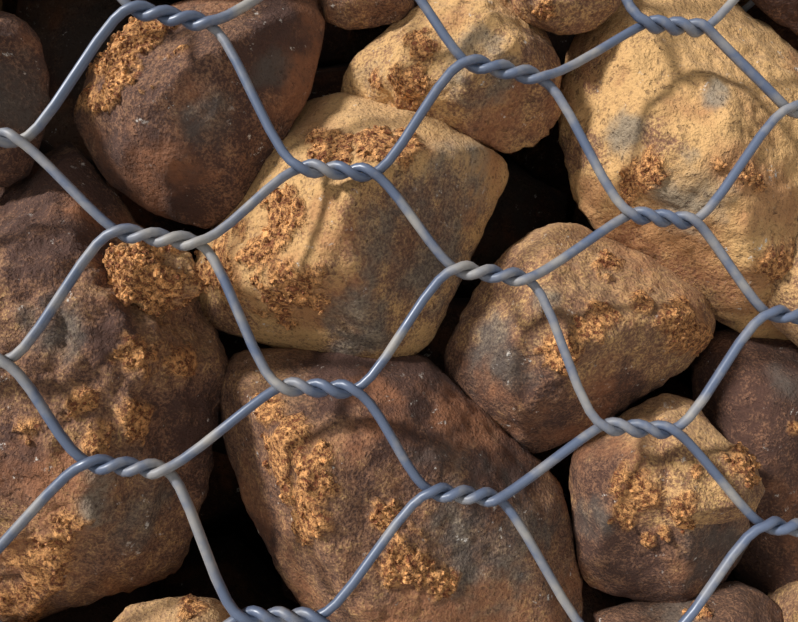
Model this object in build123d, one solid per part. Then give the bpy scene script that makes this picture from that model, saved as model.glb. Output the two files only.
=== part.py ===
"""Gabion wall section: a rock-filled basket of double-twisted hexagonal wire mesh, in whole bays.

The basket is a box of flat mesh panels, edged with a heavier selvedge wire, with a mesh
diaphragm between the bays. Each bay is filled with stone in lifts, and tie wires between
the lifts hold the front and back panels together.

Units are millimetres. X runs along the wall, Y from the front face to the back, Z up.
The origin is on the ground, under the middle of the wall.
"""

from build123d import *
import math
import os

# Overall size, over the mesh
wall_length = 2000.0
wall_depth = 500.0
wall_height = 1000.0
bay_count = 2

# Wire diameters, over the plastic coating
mesh_wire = 3.7
selvedge_wire = 4.4
tie_wire = 3.2

# The woven mesh: an opening across the twists, the pitch along them, and a twist
mesh_opening = 80.0
mesh_pitch = 125.0
twist_length = 32.0

# Stone filling and its ties
lifts = 3
ties_per_bay = 2
tie_groove_clearance = 0.2
tie_loop_clearance = 0.3

# Gap between the square-cut ends of two selvedge wires at a corner
corner_gap = 0.3

# A panel is as deep as a pair of twisted wires, or as its selvedge wire if that is thicker
panel_depth = max(2 * mesh_wire, selvedge_wire)

# Mesh wire is wound round the selvedge wires, so they stand in from a panel's edges by its
# thickness, and the mesh starts beyond them
selvedge_inset = mesh_wire
mesh_inset = selvedge_inset + selvedge_wire

# The front and back panels are the full size. The base and lid fit between them, and
# the end panels and diaphragms fit between all four.
face_y = (wall_depth - panel_depth) / 2
lid_z = wall_height - panel_depth / 2
base_z = panel_depth / 2
middle_z = wall_height / 2
inner_depth = wall_depth - 2 * panel_depth
inner_height = wall_height - 2 * panel_depth

# Where the bays meet
bay_length = wall_length / bay_count
bay_joints = [joint * bay_length - wall_length / 2 for joint in range(1, bay_count)]
bay_names = ["left", "right"] if bay_count == 2 else [f"bay_{n + 1}" for n in range(bay_count)]
diaphragm_names = [f"diaphragm_{n + 1}" for n in range(bay_count - 1)]
if bay_count == 2:
    diaphragm_names = ["diaphragm"]


class MeshGrid:
    """Columns and rows of twists in a panel, with their pitches evened out to fit it."""

    def __init__(self, length, height):
        self.length = length
        self.woven_height = height - 2 * selvedge_inset - selvedge_wire
        self.columns = 2 * round(length / mesh_pitch)
        self.rows = round(2 * self.woven_height / mesh_opening)
        self.column_pitch = length / self.columns
        self.row_pitch = self.woven_height / self.rows

    def place(self, column, row):
        """Where a twist or an opening is, from the middle of the panel."""
        x = (column + 0.5) * self.column_pitch - self.length / 2
        y = row * self.row_pitch - self.woven_height / 2
        return x, y

    def is_twist(self, column, row):
        """Twists and openings take turns along a row and up a column."""
        return (column + row) % 2 == 0

    def opening_corners(self, column, row):
        """The six corners of an opening, which leave one wire's width beside it all round."""
        x, y = self.place(column, row)
        half_height = self.row_pitch - mesh_wire
        slant_run = self.column_pitch - twist_length
        slant_width = mesh_wire / 2 * math.hypot(slant_run, self.row_pitch) / self.row_pitch
        at_tip = self.column_pitch - twist_length / 2 - slant_width
        at_twist = at_tip - slant_run * half_height / self.row_pitch
        return [
            (x - at_tip, y),
            (x - at_twist, y + half_height),
            (x + at_twist, y + half_height),
            (x + at_tip, y),
            (x + at_twist, y - half_height),
            (x - at_twist, y - half_height),
        ]


def mesh_panel(length, height, left_edge=mesh_inset, right_edge=mesh_inset):
    """Mesh between the selvedge wires of a panel, flat in XY about its own middle.

    left_edge and right_edge are what is left free at each end for the selvedge wire.
    """
    grid = MeshGrid(length, height)
    left = left_edge - length / 2
    right = length / 2 - right_edge
    top = height / 2 - mesh_inset
    whole_openings, cut_openings = [], []
    for column in range(-1, grid.columns + 1):
        for row in range(grid.rows + 1):
            if grid.is_twist(column, row):
                continue
            corners = grid.opening_corners(column, row)
            outline = Wire.make_polygon([(x, y, 0) for x, y in corners], close=True)
            if all(left < x < right and abs(y) < top for x, y in corners):
                whole_openings.append(outline)
            else:
                cut_openings.append(Face(outline))
    sheet = Pos((left + right) / 2, 0) * Face.make_rect(right - left, 2 * top)
    sheet = sheet.cut(*cut_openings).face().make_holes(whole_openings)
    return Pos(0, 0, -panel_depth / 2) * extrude(sheet, amount=panel_depth)


def selvedge_frame(length, height):
    """The four selvedge wires around a panel, flat in XY about its own middle."""
    radius = selvedge_wire / 2
    inset = selvedge_inset + radius
    long_wire = Rot(0, 90, 0) * Cylinder(radius, length - 2 * selvedge_inset)
    upright = Rot(90, 0, 0) * Cylinder(radius, height - 2 * mesh_inset - 2 * corner_gap)
    wires = [Pos(0, side * (height / 2 - inset)) * long_wire for side in (-1, 1)]
    wires += [Pos(side * (length / 2 - inset), 0) * upright for side in (-1, 1)]
    return Compound(children=wires)


def standing_lengthwise(x, y):
    """Where a front or back panel goes."""
    return Plane((x, y, middle_z), x_dir=(1, 0, 0), z_dir=(0, -1, 0)).location


def standing_crosswise(x):
    """Where an end panel or a diaphragm goes."""
    return Plane((x, 0, middle_z), x_dir=(0, 1, 0), z_dir=(1, 0, 0)).location


parts = {}

# Front and back panels: one sheet of mesh for each bay, in one frame of selvedge wires
bay_centres = [(bay + 0.5) * bay_length - wall_length / 2 for bay in range(bay_count)]
for face_name, y in (("front", -face_y), ("back", face_y)):
    for bay, bay_name in enumerate(bay_names):
        sheet = mesh_panel(
            bay_length,
            wall_height,
            left_edge=mesh_inset if bay == 0 else 0,
            right_edge=mesh_inset if bay == bay_count - 1 else 0,
        )
        place = standing_lengthwise(bay_centres[bay], y)
        parts[f"{face_name}_mesh_{bay_name}_bay"] = place * sheet
    frame = selvedge_frame(wall_length, wall_height)
    parts[f"{face_name}_selvedges"] = standing_lengthwise(0, y) * frame

# Base and lid
flat_sheet = mesh_panel(wall_length, inner_depth)
for name, z in (("base", base_z), ("lid", lid_z)):
    parts[f"{name}_mesh"] = Pos(0, 0, z) * flat_sheet
    parts[f"{name}_selvedges"] = Pos(0, 0, z) * selvedge_frame(wall_length, inner_depth)

# End panels and diaphragms
end_x = (wall_length - panel_depth) / 2
cross_x = [-end_x, *bay_joints, end_x]
cross_sheet = mesh_panel(inner_depth, inner_height)
for name, x in zip(["left_end", *diaphragm_names, "right_end"], cross_x):
    parts[f"{name}_mesh"] = standing_crosswise(x) * cross_sheet
    frame = selvedge_frame(inner_depth, inner_height)
    parts[f"{name}_selvedges"] = standing_crosswise(x) * frame

# Lifts of stone meet at rows of twists, because the tie wires between them hold on to twists
lift_names = ["lower", "middle", "upper"] if lifts == 3 else [f"lift_{n + 1}" for n in range(lifts)]
face_grid = MeshGrid(bay_length, wall_height)
joint_rows = [round(face_grid.rows * lift / lifts) for lift in range(1, lifts)]
joint_heights = [middle_z + face_grid.place(0, row)[1] for row in joint_rows]
lift_edges = [panel_depth, *joint_heights, wall_height - panel_depth]


def tie_places(bay, row, z):
    """Twists in a row that are nearest to even spacing along a bay."""
    twists = [column for column in range(face_grid.columns) if face_grid.is_twist(column, row)]
    places = []
    for tie in range(ties_per_bay):
        wanted = face_grid.columns * (tie + 0.5) / ties_per_bay - 0.5
        nearest = min(twists, key=lambda column: abs(column - wanted))
        places.append(Pos(bay_centres[bay] + face_grid.place(nearest, row)[0], 0, z))
    return places


def eight_sided(across_flats, rounding=0):
    """An octagon with a flat on each axis, larger by rounding on every side."""
    return RegularPolygon(across_flats / 2 + rounding, 8, major_radius=False, rotation=22.5)


# A tie wire runs from face to face, with each end closed round a twist
loop_inside = math.hypot(panel_depth / 2, mesh_wire) + tie_loop_clearance
loop_outside = loop_inside + tie_wire
loop_section = eight_sided(2 * loop_outside) - eight_sided(2 * loop_inside)
tie_loop = extrude(Plane.YZ * loop_section, amount=tie_wire / 2, both=True)
tie_run = face_y - loop_inside - tie_wire / 2
tie = extrude(Plane.XZ * eight_sided(tie_wire), amount=tie_run, both=True)
tie += [Pos(0, side * face_y, 0) * tie_loop for side in (-1, 1)]

# The room that a tie takes in the stone: a groove, and a pocket for each loop
groove_section = eight_sided(tie_wire, rounding=tie_groove_clearance)
pocket_size = 2 * (loop_outside + tie_groove_clearance)
pocket = Box(tie_wire + 2 * tie_groove_clearance, pocket_size, pocket_size)
tie_room = extrude(Plane.XZ * groove_section, amount=inner_depth / 2, both=True)
tie_room += [Pos(0, side * face_y, 0) * pocket for side in (-1, 1)]

# Stone filling between the cross panels, and the ties between its lifts
for bay, bay_name in enumerate(bay_names):
    fill_left = cross_x[bay] + panel_depth / 2
    fill_right = cross_x[bay + 1] - panel_depth / 2
    joints = [tie_places(bay, row, z) for row, z in zip(joint_rows, joint_heights)]
    for lift, lift_name in enumerate(lift_names):
        low, high = lift_edges[lift], lift_edges[lift + 1]
        fill = Box(fill_right - fill_left, inner_depth, high - low)
        fill = Pos((fill_left + fill_right) / 2, 0, (low + high) / 2) * fill
        for places in joints[max(lift - 1, 0) : lift + 1]:
            fill -= [place * tie_room for place in places]
        parts[f"stone_fill_{bay_name}_{lift_name}"] = fill
    for places, lift_name in zip(joints, lift_names):
        ties = [place * tie for place in places]
        parts[f"tie_wires_{bay_name}_{lift_name}"] = Compound(children=ties)

os.makedirs("parts", exist_ok=True)
for name, shape in parts.items():
    export_step(shape, f"parts/{name}.step")
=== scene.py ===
import math
import random

import bpy
import numpy as np
from mathutils import Matrix, Vector, noise


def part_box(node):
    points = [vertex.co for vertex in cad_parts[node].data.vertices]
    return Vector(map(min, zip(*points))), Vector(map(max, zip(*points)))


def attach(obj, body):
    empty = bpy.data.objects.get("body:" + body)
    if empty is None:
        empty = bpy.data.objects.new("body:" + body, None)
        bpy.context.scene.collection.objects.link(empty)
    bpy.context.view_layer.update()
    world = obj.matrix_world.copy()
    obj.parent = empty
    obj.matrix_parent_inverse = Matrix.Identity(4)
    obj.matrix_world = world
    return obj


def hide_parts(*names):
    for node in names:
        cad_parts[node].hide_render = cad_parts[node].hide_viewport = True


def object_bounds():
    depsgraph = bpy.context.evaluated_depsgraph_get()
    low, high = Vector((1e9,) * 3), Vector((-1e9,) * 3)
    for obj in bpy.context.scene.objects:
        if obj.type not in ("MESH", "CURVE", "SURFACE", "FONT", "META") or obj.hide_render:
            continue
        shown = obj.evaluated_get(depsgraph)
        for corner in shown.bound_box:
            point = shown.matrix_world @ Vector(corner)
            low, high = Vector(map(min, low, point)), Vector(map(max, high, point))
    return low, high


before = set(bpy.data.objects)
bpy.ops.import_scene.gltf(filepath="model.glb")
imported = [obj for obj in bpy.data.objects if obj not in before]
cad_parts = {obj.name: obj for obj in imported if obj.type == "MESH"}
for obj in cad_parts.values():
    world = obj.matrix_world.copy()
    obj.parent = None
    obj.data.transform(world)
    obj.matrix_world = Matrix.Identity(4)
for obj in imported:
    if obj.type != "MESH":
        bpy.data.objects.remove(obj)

cad_low, cad_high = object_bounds()
mm = 0.001

# The viewpoint of the photograph: a hand-held camera a quarter of a metre in front of the
# left bay, below the middle of the picture's weave and looking slightly up and to the right.
# Its place is given from one twist of the front mesh, eight columns in and fourteen rows up.
picture_width, picture_height = 798, 622
focal_length_in_pixels = 700
sensor_width = 36.0
column_pitch = 62.5 * mm
row_pitch = 39.528 * mm
lowest_row = 5.9 * mm
middle_column, middle_row = 8, 14
camera_from_twist = Vector((6.6, -256.7, -67.0)) * mm
looking = Vector((0.087, 0.994, 0.060)).normalized()
held_upright = Vector((-0.112, -0.050, 0.992))

face_low, face_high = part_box("front_mesh_left_bay")
wall_left = -(cad_high.x - cad_low.x) / 2
mesh_y = (face_low.y + face_high.y) / 2
twist_x = wall_left + (middle_column + 0.5) * column_pitch
twist_z = lowest_row + middle_row * row_pitch
camera_place = Vector((twist_x, mesh_y, twist_z)) + camera_from_twist
camera_right = looking.cross(held_upright).normalized()
camera_up = camera_right.cross(looking)


def in_scene(name, data):
    """A new object with this data, in the scene."""
    added = bpy.data.objects.new(name, data)
    bpy.context.scene.collection.objects.link(added)
    return added


camera_data = bpy.data.cameras.new("camera")
camera_data.sensor_width = sensor_width
camera_data.lens = sensor_width * focal_length_in_pixels / picture_width
camera_data.clip_start = 0.01
camera = in_scene("camera", camera_data)
turn = Matrix((camera_right, camera_up, -looking)).transposed()
camera.matrix_world = Matrix.Translation(camera_place) @ turn.to_4x4()
bpy.context.scene.camera = camera


def behind_mesh(pixel, depth):
    """The place that shows at a pixel of the photograph, so far behind the front mesh."""
    across = (pixel[0] - picture_width / 2) / focal_length_in_pixels
    down = (pixel[1] - picture_height / 2) / focal_length_in_pixels
    ray = looking + across * camera_right - down * camera_up
    return camera_place + ray * ((mesh_y + depth - camera_place.y) / ray.y)


# Plain studio light on a pale floor: a broad soft lamp from the upper left, where the sun
# stands in the photograph, a weaker one from behind, and even light all round.
def linear(hex_colour):
    """An sRGB colour such as #808080 as linear red, green, blue and alpha."""
    parts = [int(hex_colour[i : i + 2], 16) / 255 for i in (1, 3, 5)]
    return [c / 12.92 if c <= 0.04045 else ((c + 0.055) / 1.055) ** 2.4 for c in parts] + [1.0]


def add_node(tree, kind, values=None, links=None, **settings):
    """Adds a node: its settings, its input values and the outputs that feed its inputs."""
    node = tree.nodes.new(kind)
    for name, value in settings.items():
        setattr(node, name, value)
    for name, value in (values or {}).items():
        node.inputs[name].default_value = value
    for name, (source, output) in (links or {}).items():
        tree.links.new(source.outputs[output], node.inputs[name])
    return node


def add_sun(name, towards, strength, softness_degrees):
    """A lamp that shines in one direction, with as soft an edge to its shadows as its width."""
    lamp = bpy.data.lights.new(name, "SUN")
    lamp.energy = strength
    lamp.angle = math.radians(softness_degrees)
    in_scene(name, lamp).rotation_euler = Vector(towards).to_track_quat("-Z", "Y").to_euler()


add_sun("key_light", towards=(0.80, 0.46, -0.42), strength=4.9, softness_degrees=7)
add_sun("back_light", towards=(-0.5, -0.7, -0.5), strength=2.2, softness_degrees=25)

world = bpy.data.worlds.new("studio")
world.use_nodes = True
world_tree = world.node_tree
even_light = world_tree.nodes["Background"]
even_light.inputs["Color"].default_value = linear("#eef1f6")
even_light.inputs["Strength"].default_value = 0.32
pale = {"Color": linear("#e4e6e9"), "Strength": 1.0}
backdrop = add_node(world_tree, "ShaderNodeBackground", values=pale)
ray = add_node(world_tree, "ShaderNodeLightPath")
rays = {0: (ray, "Is Camera Ray"), 1: (ray, "Is Glossy Ray")}
sees_backdrop = add_node(world_tree, "ShaderNodeMath", links=rays, operation="MAXIMUM")
choice = {0: (sees_backdrop, "Value"), 1: (even_light, "Background"), 2: (backdrop, "Background")}
shown_world = add_node(world_tree, "ShaderNodeMixShader", links=choice)
world_tree.links.new(shown_world.outputs["Shader"], world_tree.nodes["World Output"].inputs["Surface"])
bpy.context.scene.world = world
bpy.context.scene.view_settings.view_transform = "Standard"


def start_material(name, finish):
    """A material, with its tree of nodes and its shader, whose inputs are set to a finish."""
    material = bpy.data.materials.new(name)
    material.use_nodes = True
    shader = material.node_tree.nodes["Principled BSDF"]
    for input_name, value in finish.items():
        shader.inputs[input_name].default_value = value
    return material, material.node_tree, shader


floor_finish = {"Base Color": linear("#dcdcda"), "Roughness": 0.9}
floor_mesh = bpy.data.meshes.new("floor")
floor_reach = 12.0
floor_turns = ((-1, -1), (1, -1), (1, 1), (-1, 1))
floor_corners = [(x * floor_reach, y * floor_reach, 0) for x, y in floor_turns]
floor_mesh.from_pydata(floor_corners, [], [(0, 1, 2, 3)])
floor_mesh.materials.append(start_material("pale_floor", floor_finish)[0])
in_scene("floor", floor_mesh)


# Woven mesh: steel wire of 2.7 mm, galvanised and coated with grey-blue PVC to 3.7 mm. Each
# wire zigzags between two rows of twists. In each twist it and the next wire wind round each
# other, the other way from one row to the next. The edge rows wind round the selvedge wires.
wire_radius = 1.85 * mm
selvedge_radius = 2.2 * mm
wrap_radius = selvedge_radius + wire_radius
selvedge_inset = 3.7 * mm
twist_length = 32 * mm
turns_in_a_twist = 1.75
eighth_turn = math.pi / 4
bend_reach = 10 * mm
coil_turns = 2
coil_pitch = 3.9 * mm
coil_offset = 11 * mm
coil_start = math.radians(50)
weaving_error = 0.7 * mm
weaving_lean = 0.03

# Left and right end of each twist that the photograph shows, by columns and rows from the
# middle one. A twist that is cut off by the picture's edge has one end only.
seen_twists = {
    (0, 0): ((293, 167), (377.5, 173.5)),
    (2, 0): ((625, 214), (697.7, 222)),
    (1, 1): ((463, 61), (548.5, 79)),
    (-1, 1): ((128, 8), (215.5, 25)),
    (2, 2): ((639, 23), (708, 29)),
    (1, -1): ((450.3, 268), (533, 279.3)),
    (-1, -1): ((111, 231), (204, 243.6)),
    (0, -2): ((275.5, 386), (359.7, 390)),
    (2, -2): ((598, 425.8), (678.6, 431)),
    (-1, -3): ((80.4, 462.8), (169.6, 470.4)),
    (1, -3): ((424.8, 490.8), (502.6, 498.5)),
    (0, -4): ((237, 616), (324, 618)),
    (-2, 0): (None, (24, 140)),
    (-2, -2): (None, (10, 361)),
    (3, -3): ((757.7, 524), None),
    (3, -1): ((764, 312), None),
    (3, 1): ((785, 107), None),
}


class WovenPanel:
    """A flat panel of mesh. Places on it are (along, up, out) from its lower left corner."""

    def __init__(self, corner, along, up, length, height, columns, rows, first_twist, seed):
        self.corner, self.along, self.up = Vector(corner), Vector(along), Vector(up)
        self.out = self.along.cross(self.up)
        self.length, self.height = length, height
        self.columns, self.rows, self.first_twist = columns, rows, first_twist
        self.pitch = length / columns
        self.rod_inset = selvedge_inset + selvedge_radius
        self.row_pitch = (height - 2 * self.rod_inset) / rows
        self.random = random.Random(seed)
        self.twists = {}
        for column in range(-1, columns + 1):
            for row in range(rows + 1):
                if self.is_twist(column, row):
                    self.twists[column, row] = self.regular_twist(column, row)

    def is_twist(self, column, row):
        """Twists and openings take turns along a row and up a column."""
        return (column + row + self.first_twist) % 2 == 0

    def regular_twist(self, column, row):
        """Both ends of a twist, a little off its true place except on a selvedge."""
        shift = [self.random.gauss(0, weaving_error) for _ in range(3)]
        lean = self.random.gauss(0, weaving_lean)
        if row in (0, self.rows):
            shift, lean = [shift[0], 0, 0], 0
        middle = Vector(((column + 0.5) * self.pitch, self.rod_inset + row * self.row_pitch, 0))
        middle += Vector(shift)
        half = Vector((math.cos(lean), math.sin(lean), 0)) * twist_length / 2
        return middle - half, middle + half

    def to_world(self, place):
        """Where a place on the panel is in the wall."""
        return self.corner + place.x * self.along + place.y * self.up + place.z * self.out

    def from_world(self, place):
        """Where a place in the wall is on the panel."""
        offset = place - self.corner
        return Vector((offset.dot(self.along), offset.dot(self.up), offset.dot(self.out)))


def winding(left, right, wire_is_upper, row_is_even, radius, steps):
    """The centre line of a wire that winds round the line from left to right."""
    axis = right - left
    out = Vector((0, 0, 1))
    up = out.cross(axis).normalized()
    hand = -1 if row_is_even else 1
    start = (math.pi / 2 if wire_is_upper else -math.pi / 2) + hand * eighth_turn
    for step in range(steps + 1):
        angle = start + hand * 2 * math.pi * turns_in_a_twist * step / steps
        yield left + axis * step / steps + radius * (math.sin(angle) * up + math.cos(angle) * out)


def bend(before, start, end, after, steps):
    """The wire between two windings, leaving each the way the winding runs there."""
    leave = (start - before).normalized() * bend_reach
    arrive = (after - end).normalized() * bend_reach
    for step in range(1, steps):
        t = 0.5 - 0.5 * math.cos(math.pi * step / steps)
        s = 1 - t
        near_start = s**3 * start + 3 * s * s * t * (start + leave)
        yield near_start + 3 * s * t * t * (end - arrive) + t**3 * end


def end_coil(panel, left_side, height, rising, steps):
    """Cut end of a wire, wound round the upright selvedge wire at one side of a panel."""
    rod = panel.rod_inset if left_side else panel.length - panel.rod_inset
    side = 1 if left_side else -1
    points = []
    for step in range(steps + 1):
        angle = coil_start + 2 * math.pi * coil_turns * step / steps
        climb = rising * coil_pitch * coil_turns * step / steps
        across = side * math.cos(angle) * wrap_radius
        points.append(Vector((rod + across, height + climb, math.sin(angle) * wrap_radius)))
    return points


def wire_paths(panel, first, last, twist_steps, bend_steps):
    """Centre lines of a panel's wires from one column of twists to another, in the wall."""
    paths = []
    for wire in range(panel.rows):
        stretches = []
        for column in range(first - 1, last + 2):
            row = wire if panel.is_twist(column, wire) else wire + 1
            if (column, row) not in panel.twists:
                continue
            on_edge = row in (0, panel.rows)
            stretch = winding(
                *panel.twists[column, row],
                wire_is_upper=row == wire,
                row_is_even=row % 2 == 0,
                radius=wrap_radius if on_edge else wire_radius,
                steps=twist_steps,
            )
            stretches.append((column, row == wire, list(stretch)))
        path = []
        for column, is_upper, stretch in stretches:
            if column in (-1, panel.columns):
                continue
            rising = 1 if is_upper else -1
            if column == 0:
                height = stretch[0].y + rising * coil_offset
                coil = end_coil(panel, True, height, rising, twist_steps)[::-1]
                path += coil
                path += bend(coil[-2], coil[-1], stretch[0], stretch[1], bend_steps)
            if first <= column <= last:
                path += stretch
            following = [s for c, _, s in stretches if c == column + 1]
            if column < panel.columns - 1 and following:
                link = list(bend(stretch[-2], stretch[-1], following[0][0], following[0][1], bend_steps))
                middle = len(link) // 2
                if first <= column and column + 1 <= last:
                    path += link
                elif column + 1 == first:
                    path += link[middle:]
                elif column == last:
                    path += link[: middle + 1]
            if column == panel.columns - 1:
                height = stretch[-1].y + rising * coil_offset
                coil = end_coil(panel, False, height, rising, twist_steps)
                path += bend(stretch[-2], stretch[-1], coil[0], coil[1], bend_steps)
                path += coil
        paths.append([panel.to_world(point) for point in path])
    return paths


def start_tree(name, sizes):
    """A tree of geometry nodes whose inputs are a shape, these sizes by kind, and a material."""
    tree = bpy.data.node_groups.new(name, "GeometryNodeTree")
    inputs = {"Geometry": "Geometry", **sizes, "Material": "Material"}
    for input_name, kind in inputs.items():
        tree.interface.new_socket(input_name, in_out="INPUT", socket_type="NodeSocket" + kind)
    tree.interface.new_socket("Geometry", in_out="OUTPUT", socket_type="NodeSocketGeometry")
    return tree, add_node(tree, "NodeGroupInput")


def end_tree(tree, given, shape):
    """Makes a tree's shape real, gives it the material and puts it out."""
    real = add_node(tree, "GeometryNodeRealizeInstances", links={"Geometry": shape})
    links = {"Geometry": (real, "Geometry"), "Material": (given, "Material")}
    finished = add_node(tree, "GeometryNodeSetMaterial", links=links)
    add_node(tree, "NodeGroupOutput", links={"Geometry": (finished, "Geometry")})
    return tree


def wire_tree(name):
    """Geometry nodes that turn centre lines into round wire."""
    tree, given = start_tree(name, {"Radius": "Float", "Sides": "Int"})
    links = {"Resolution": (given, "Sides"), "Radius": (given, "Radius")}
    section = add_node(tree, "GeometryNodeCurvePrimitiveCircle", links=links)
    links = {"Curve": (given, "Geometry"), "Profile Curve": (section, "Curve")}
    wire = add_node(tree, "GeometryNodeCurveToMesh", values={"Fill Caps": True}, links=links)
    smooth = add_node(tree, "GeometryNodeSetShadeSmooth", links={"Geometry": (wire, "Mesh")})
    return end_tree(tree, given, (smooth, "Geometry"))


round_wire = wire_tree("round_wire")


def finished_mesh(name, source, tree, inputs):
    """Runs a geometry nodes tree on an object and keeps the result as a plain mesh piece."""
    bpy.context.scene.collection.objects.link(source)
    modifier = source.modifiers.new("nodes", "NODES")
    modifier.node_group = tree
    sockets = {s.name: s.identifier for s in tree.interface.items_tree if s.in_out == "INPUT"}
    for input_name, value in inputs.items():
        modifier[sockets[input_name]] = value
    bpy.context.view_layer.update()
    evaluated = source.evaluated_get(bpy.context.evaluated_depsgraph_get())
    mesh = bpy.data.meshes.new_from_object(evaluated)
    mesh.name = name
    source.modifiers.remove(modifier)
    bpy.data.objects.remove(source)
    return in_scene(name, mesh)


def wires(name, paths, radius, sides, material):
    """One piece of round wire along all of these centre lines."""
    curve = bpy.data.curves.new(name + "_lines", "CURVE")
    curve.dimensions = "3D"
    for path in paths:
        spline = curve.splines.new("POLY")
        spline.points.add(len(path) - 1)
        for point, place in zip(spline.points, path):
            point.co = (*place, 1)
    source = bpy.data.objects.new(name + "_lines", curve)
    inputs = {"Radius": radius, "Sides": sides, "Material": material}
    return finished_mesh(name, source, round_wire, inputs)


def coated_wire(name, coat, dust):
    """PVC extruded over galvanised steel wire: smooth, slightly glossy, dusty in patches."""
    material, tree, shader = start_material(name, {"IOR": 1.53})
    place = add_node(tree, "ShaderNodeTexCoord")

    # Patches of dust by size in mm, octaves and roughness, and the grain of the plastic, which is
    # drawn coarser than it is so that it shows
    patches, grain = [
        add_node(
            tree,
            "ShaderNodeTexNoise",
            values={"Scale": 1 / (size * mm), "Detail": octaves, "Roughness": roughness},
            links={"Vector": (place, "Object")},
        )
        for size, octaves, roughness in ((22, 4.0, 0.6), (1.6, 3.0, 0.5))
    ]

    # How dusty and how dull the coat is there, as the pattern's range and what it gives
    dustiness, dullness = [
        add_node(
            tree,
            "ShaderNodeMapRange",
            values={"From Min": low, "From Max": high, "To Min": least, "To Max": most},
            links={"Value": (patches, "Fac")},
        )
        for low, high, least, most in ((0.46, 0.66, 0.0, 0.55), (0.35, 0.7, 0.33, 0.62))
    ]
    colours = {"Color1": linear(coat), "Color2": linear(dust)}
    colour = add_node(tree, "ShaderNodeMixRGB", values=colours, links={"Fac": (dustiness, "Result")})
    depth = {"Strength": 0.25, "Distance": 0.12 * mm}
    relief = add_node(tree, "ShaderNodeBump", values=depth, links={"Height": (grain, "Fac")})
    tree.links.new(colour.outputs["Color"], shader.inputs["Base Color"])
    tree.links.new(dullness.outputs["Result"], shader.inputs["Roughness"])
    tree.links.new(relief.outputs["Normal"], shader.inputs["Normal"])
    return material


mesh_coat = coated_wire("pvc_coated_mesh_wire", coat="#505a6e", dust="#a99e8b")

wall_length = cad_high.x - cad_low.x
wall_height = cad_high.z - cad_low.z
panel_depth = face_high.y - face_low.y
lid_depth = 2 * (-mesh_y) - panel_depth
end_height = wall_height - 2 * panel_depth
end_x = wall_length / 2 - panel_depth / 2
lid_z = wall_height - panel_depth / 2

front = WovenPanel(
    corner=(wall_left, mesh_y, 0), along=(1, 0, 0), up=(0, 0, 1),
    length=wall_length, height=wall_height, columns=32, rows=25, first_twist=0, seed=11,
)
back = WovenPanel(
    corner=(-wall_left, -mesh_y, 0), along=(-1, 0, 0), up=(0, 0, 1),
    length=wall_length, height=wall_height, columns=32, rows=25, first_twist=1, seed=12,
)
lid = WovenPanel(
    corner=(wall_left, -lid_depth / 2, lid_z), along=(1, 0, 0), up=(0, 1, 0),
    length=wall_length, height=lid_depth, columns=32, rows=12, first_twist=0, seed=13,
)
right_end = WovenPanel(
    corner=(end_x, -lid_depth / 2, panel_depth), along=(0, 1, 0), up=(0, 0, 1),
    length=lid_depth, height=end_height, columns=8, rows=24, first_twist=0, seed=14,
)
left_end = WovenPanel(
    corner=(-end_x, lid_depth / 2, panel_depth), along=(0, -1, 0), up=(0, 0, 1),
    length=lid_depth, height=end_height, columns=8, rows=24, first_twist=1, seed=15,
)

# The weave in the picture is pulled: even rows sag and odd ones rise, which dies out round it.
row_pull = 4.7 * mm
pulled_reach, slack_reach = 170 * mm, 270 * mm
view_middle = front.from_world(behind_mesh((picture_width / 2, picture_height / 2), 0))
for (column, row), ends in front.twists.items():
    if row in (0, front.rows):
        continue
    distance = ((ends[0] + ends[1]) / 2 - view_middle).length
    pull = min(1, max(0, (slack_reach - distance) / (slack_reach - pulled_reach)))
    shift = Vector((0, row_pull * pull * (1 if row % 2 else -1), 0))
    front.twists[column, row] = (ends[0] + shift, ends[1] + shift)
for (column, row), pixels in seen_twists.items():
    left, right = [front.from_world(behind_mesh(p, 0)) if p else None for p in pixels]
    left = left or right - Vector((twist_length, 0, 0))
    right = right or left + Vector((twist_length, 0, 0))
    front.twists[middle_column + column, middle_row + row] = (left, right)

# Each piece's node, panel, first and last column of twists, steps in a twist and in a bend, and
# the sides of its wire
half = front.columns // 2
mesh_pieces = [
    ("front_mesh_left_bay", front, 0, half - 1, 16, 8, 8),
    ("front_mesh_right_bay", front, half, front.columns - 1, 12, 6, 6),
    ("back_mesh_right_bay", back, 0, half - 1, 10, 5, 5),
    ("back_mesh_left_bay", back, half, back.columns - 1, 10, 5, 5),
    ("lid_mesh", lid, 0, lid.columns - 1, 10, 5, 5),
    ("left_end_mesh", left_end, 0, left_end.columns - 1, 10, 5, 5),
    ("right_end_mesh", right_end, 0, right_end.columns - 1, 10, 5, 5),
]
for node, panel, first, last, twist_steps, bend_steps, sides in mesh_pieces:
    paths = wire_paths(panel, first, last, twist_steps, bend_steps)
    piece = wires(node + "_wires", paths, wire_radius, sides, mesh_coat)
    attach(piece, "root")
    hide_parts(node)


# Selvedge wires round each panel, of 3.4 mm steel coated to 4.4 mm, and 2.2 mm tie wires coated
# to 3.2 mm, which run through the stones from face to face. All are drawn straight and smooth,
# with a slightly darker coat. The base and the diaphragm, which hardly show, are coated as mesh.
edge_coat = coated_wire("pvc_coated_selvedge_wire", coat="#4e586b", dust="#9c968b")
tie_coat = coated_wire("pvc_coated_tie_wire", coat="#505a6d", dust="#9c968b")
for node_name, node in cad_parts.items():
    if node_name.endswith("selvedges"):
        coat = edge_coat
    elif node_name.startswith("tie_wires"):
        coat = tie_coat
    else:
        coat = mesh_coat
    for material_slot in node.material_slots:
        material_slot.material = coat


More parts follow.
